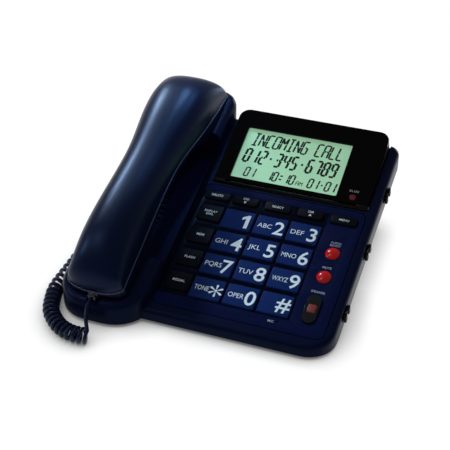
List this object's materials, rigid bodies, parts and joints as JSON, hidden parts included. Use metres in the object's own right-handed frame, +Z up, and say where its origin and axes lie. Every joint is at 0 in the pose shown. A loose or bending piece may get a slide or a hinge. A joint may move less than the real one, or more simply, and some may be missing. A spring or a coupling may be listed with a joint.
{
  "type": "corded telephone",
  "caption": "Corded desk telephone with large keys on a sloped deck, a tilting display, slide controls, a handset in a side cradle and a curly cord.",
  "frame": {"origin": "centre of the base's footprint on the table, under the rubber feet", "axes": "+Z up, +X to the user's right, -Y towards the user"},
  "size_m": [0.2219, 0.2377, 0.1072],
  "materials": {
    "navy_plastic": "satin gloss",
    "key_navy": "satin",
    "key_black": "satin",
    "button_red": "glossy",
    "foot_rubber": "matte",
    "mat_rubber": "matte",
    "board_green": "matte",
    "black_plastic": "satin",
    "steel": "plated",
    "cell_jacket": "gloss",
    "clear_plug": "clear",
    "cord_navy": "satin",
    "window_black": "high gloss",
    "lcd_green": "reflective",
    "backlight_white": "matte",
    "lamp_red": "translucent",
    "button_silver": "satin",
    "lamp_orange": "translucent",
    "weight_iron": "raw"
  },
  "bodies": {
    "base": {"base_top_housing": "navy_plastic", "base_bottom_housing": "navy_plastic", "rubber_feet": "foot_rubber", "keypad_faceplate": "navy_plastic", "key_mat": "mat_rubber", "main_circuit_board": "board_green", "base_speaker": "black_plastic", "base_microphone": "steel", "line_jack": "black_plastic", "base_cord_jack": "black_plastic", "slide_controls": "black_plastic", "hook_switch": "black_plastic", "display_hinge_pins": "steel", "battery_cells": "cell_jacket", "battery_contacts": "steel", "base_screws": "steel", "base_plug": "clear_plug", "handset_cord": "cord_navy"},
    "display": {"display_case": "black_plastic", "display_window": "window_black", "lcd_module": "lcd_green", "lcd_backlight": "backlight_white", "in_use_light": "lamp_red"},
    "handset": {"handset_back_shell": "navy_plastic", "handset_front_shell": "navy_plastic", "handset_receiver": "steel", "handset_microphone": "steel", "handset_weight": "weight_iron", "handset_screws": "steel", "handset_plug": "clear_plug"},
    "hook": {"hook_plunger": "black_plastic"},
    "door": {"battery_door": "navy_plastic"},
    "key_1_body": {"key_1": "key_navy"},
    "key_2_body": {"key_2": "key_navy"},
    "key_3_body": {"key_3": "key_navy"},
    "key_4_body": {"key_4": "key_navy"},
    "key_5_body": {"key_5": "key_navy"},
    "key_6_body": {"key_6": "key_navy"},
    "key_7_body": {"key_7": "key_navy"},
    "key_8_body": {"key_8": "key_navy"},
    "key_9_body": {"key_9": "key_navy"},
    "key_star_body": {"key_star": "key_navy"},
    "key_0_body": {"key_0": "key_navy"},
    "key_hash_body": {"key_hash": "key_navy"},
    "key_display_dial_body": {"key_display_dial": "key_black"},
    "key_memory_body": {"key_memory": "key_black"},
    "key_flash_body": {"key_flash": "key_black"},
    "key_redial_body": {"key_redial": "key_black"},
    "key_delete_body": {"key_delete": "key_black"},
    "key_scroll_down_body": {"key_scroll_down": "key_black"},
    "key_select_body": {"key_select": "key_black"},
    "key_scroll_up_body": {"key_scroll_up": "key_black"},
    "key_menu_body": {"key_menu": "key_black"},
    "button_boost_body": {"button_boost": "button_red"},
    "button_mute_body": {"button_mute": "button_red"},
    "button_speaker_body": {"button_speaker": "button_silver", "speaker_light": "lamp_orange"},
    "ringer_slide_body": {"ringer_slide": "black_plastic"},
    "speaker_slide_body": {"speaker_slide": "black_plastic"},
    "handset_slide_body": {"handset_slide": "black_plastic"}
  },
  "joints": [
    {"name": "key_1_press", "type": "slide", "parent": "base", "child": "key_1_body", "axis": [0, 0.2924, -0.9563], "range_m": [0, 0.0012], "stiffness_N_per_m": 800, "springref_m": -0.0005, "deforming": ["key_mat"]},
    {"name": "key_2_press", "type": "slide", "parent": "base", "child": "key_2_body", "axis": [0, 0.2924, -0.9563], "range_m": [0, 0.0012], "stiffness_N_per_m": 800, "springref_m": -0.0005, "deforming": ["key_mat"]},
    {"name": "key_3_press", "type": "slide", "parent": "base", "child": "key_3_body", "axis": [0, 0.2924, -0.9563], "range_m": [0, 0.0012], "stiffness_N_per_m": 800, "springref_m": -0.0005, "deforming": ["key_mat"]},
    {"name": "key_4_press", "type": "slide", "parent": "base", "child": "key_4_body", "axis": [0, 0.2924, -0.9563], "range_m": [0, 0.0012], "stiffness_N_per_m": 800, "springref_m": -0.0005, "deforming": ["key_mat"]},
    {"name": "key_5_press", "type": "slide", "parent": "base", "child": "key_5_body", "axis": [0, 0.2924, -0.9563], "range_m": [0, 0.0012], "stiffness_N_per_m": 800, "springref_m": -0.0005, "deforming": ["key_mat"]},
    {"name": "key_6_press", "type": "slide", "parent": "base", "child": "key_6_body", "axis": [0, 0.2924, -0.9563], "range_m": [0, 0.0012], "stiffness_N_per_m": 800, "springref_m": -0.0005, "deforming": ["key_mat"]},
    {"name": "key_7_press", "type": "slide", "parent": "base", "child": "key_7_body", "axis": [0, 0.2924, -0.9563], "range_m": [0, 0.0012], "stiffness_N_per_m": 800, "springref_m": -0.0005, "deforming": ["key_mat"]},
    {"name": "key_8_press", "type": "slide", "parent": "base", "child": "key_8_body", "axis": [0, 0.2924, -0.9563], "range_m": [0, 0.0012], "stiffness_N_per_m": 800, "springref_m": -0.0005, "deforming": ["key_mat"]},
    {"name": "key_9_press", "type": "slide", "parent": "base", "child": "key_9_body", "axis": [0, 0.2924, -0.9563], "range_m": [0, 0.0012], "stiffness_N_per_m": 800, "springref_m": -0.0005, "deforming": ["key_mat"]},
    {"name": "key_star_press", "type": "slide", "parent": "base", "child": "key_star_body", "axis": [0, 0.2924, -0.9563], "range_m": [0, 0.0012], "stiffness_N_per_m": 800, "springref_m": -0.0005, "deforming": ["key_mat"]},
    {"name": "key_0_press", "type": "slide", "parent": "base", "child": "key_0_body", "axis": [0, 0.2924, -0.9563], "range_m": [0, 0.0012], "stiffness_N_per_m": 800, "springref_m": -0.0005, "deforming": ["key_mat"]},
    {"name": "key_hash_press", "type": "slide", "parent": "base", "child": "key_hash_body", "axis": [0, 0.2924, -0.9563], "range_m": [0, 0.0012], "stiffness_N_per_m": 800, "springref_m": -0.0005, "deforming": ["key_mat"]},
    {"name": "key_display_dial_press", "type": "slide", "parent": "base", "child": "key_display_dial_body", "axis": [0, 0.2924, -0.9563], "range_m": [0, 0.0012], "stiffness_N_per_m": 800, "springref_m": -0.0005, "deforming": ["key_mat"]},
    {"name": "key_memory_press", "type": "slide", "parent": "base", "child": "key_memory_body", "axis": [0, 0.2924, -0.9563], "range_m": [0, 0.0012], "stiffness_N_per_m": 800, "springref_m": -0.0005, "deforming": ["key_mat"]},
    {"name": "key_flash_press", "type": "slide", "parent": "base", "child": "key_flash_body", "axis": [0, 0.2924, -0.9563], "range_m": [0, 0.0012], "stiffness_N_per_m": 800, "springref_m": -0.0005, "deforming": ["key_mat"]},
    {"name": "key_redial_press", "type": "slide", "parent": "base", "child": "key_redial_body", "axis": [0, 0.2924, -0.9563], "range_m": [0, 0.0012], "stiffness_N_per_m": 800, "springref_m": -0.0005, "deforming": ["key_mat"]},
    {"name": "key_delete_press", "type": "slide", "parent": "base", "child": "key_delete_body", "axis": [0, 0.2924, -0.9563], "range_m": [0, 0.0012], "stiffness_N_per_m": 800, "springref_m": -0.0005, "deforming": ["key_mat"]},
    {"name": "key_scroll_down_press", "type": "slide", "parent": "base", "child": "key_scroll_down_body", "axis": [0, 0.2924, -0.9563], "range_m": [0, 0.0012], "stiffness_N_per_m": 800, "springref_m": -0.0005, "deforming": ["key_mat"]},
    {"name": "key_select_press", "type": "slide", "parent": "base", "child": "key_select_body", "axis": [0, 0.2924, -0.9563], "range_m": [0, 0.0012], "stiffness_N_per_m": 800, "springref_m": -0.0005, "deforming": ["key_mat"]},
    {"name": "key_scroll_up_press", "type": "slide", "parent": "base", "child": "key_scroll_up_body", "axis": [0, 0.2924, -0.9563], "range_m": [0, 0.0012], "stiffness_N_per_m": 800, "springref_m": -0.0005, "deforming": ["key_mat"]},
    {"name": "key_menu_press", "type": "slide", "parent": "base", "child": "key_menu_body", "axis": [0, 0.2924, -0.9563], "range_m": [0, 0.0012], "stiffness_N_per_m": 800, "springref_m": -0.0005, "deforming": ["key_mat"]},
    {"name": "button_boost_press", "type": "slide", "parent": "base", "child": "button_boost_body", "axis": [0, 0.2924, -0.9563], "range_m": [0, 0.0012], "stiffness_N_per_m": 800, "springref_m": -0.0005, "deforming": ["key_mat"]},
    {"name": "button_mute_press", "type": "slide", "parent": "base", "child": "button_mute_body", "axis": [0, 0.2924, -0.9563], "range_m": [0, 0.0012], "stiffness_N_per_m": 800, "springref_m": -0.0005, "deforming": ["key_mat"]},
    {"name": "button_speaker_press", "type": "slide", "parent": "base", "child": "button_speaker_body", "axis": [0, 0.2924, -0.9563], "range_m": [0, 0.0012], "stiffness_N_per_m": 800, "springref_m": -0.0005, "deforming": ["key_mat"]},
    {"name": "display_tilt", "type": "hinge", "parent": "base", "child": "display", "pos_m": [0.02655, 0.03343, 0.04707], "axis": [1, 0, 0], "range_deg": [0, 40]},
    {"name": "ringer_slide_travel", "type": "slide", "parent": "base", "child": "ringer_slide_body", "axis": [0, 0.9563, 0.2924], "range_m": [-0.004, 0.004]},
    {"name": "speaker_slide_travel", "type": "slide", "parent": "base", "child": "speaker_slide_body", "axis": [0, 0.9563, 0.2924], "range_m": [-0.004, 0.004]},
    {"name": "handset_slide_travel", "type": "slide", "parent": "base", "child": "handset_slide_body", "axis": [0, 0.9563, 0.2924], "range_m": [-0.004, 0.004]},
    {"name": "handset_lift", "type": "slide", "parent": "base", "child": "handset", "axis": [0, -0.2924, 0.9563], "range_m": [0, 0.12]},
    {"name": "hook_rise", "type": "slide", "parent": "base", "child": "hook", "axis": [0, -0.2924, 0.9563], "range_m": [0, 0.004]},
    {"name": "battery_door_slide", "type": "slide", "parent": "base", "child": "door", "axis": [0, 1, 0], "range_m": [0, 0.06]}
  ],
  "couplings": [
    {"joint": "hook_rise", "follows": "handset_lift", "ratio": 0.0333}
  ]
}
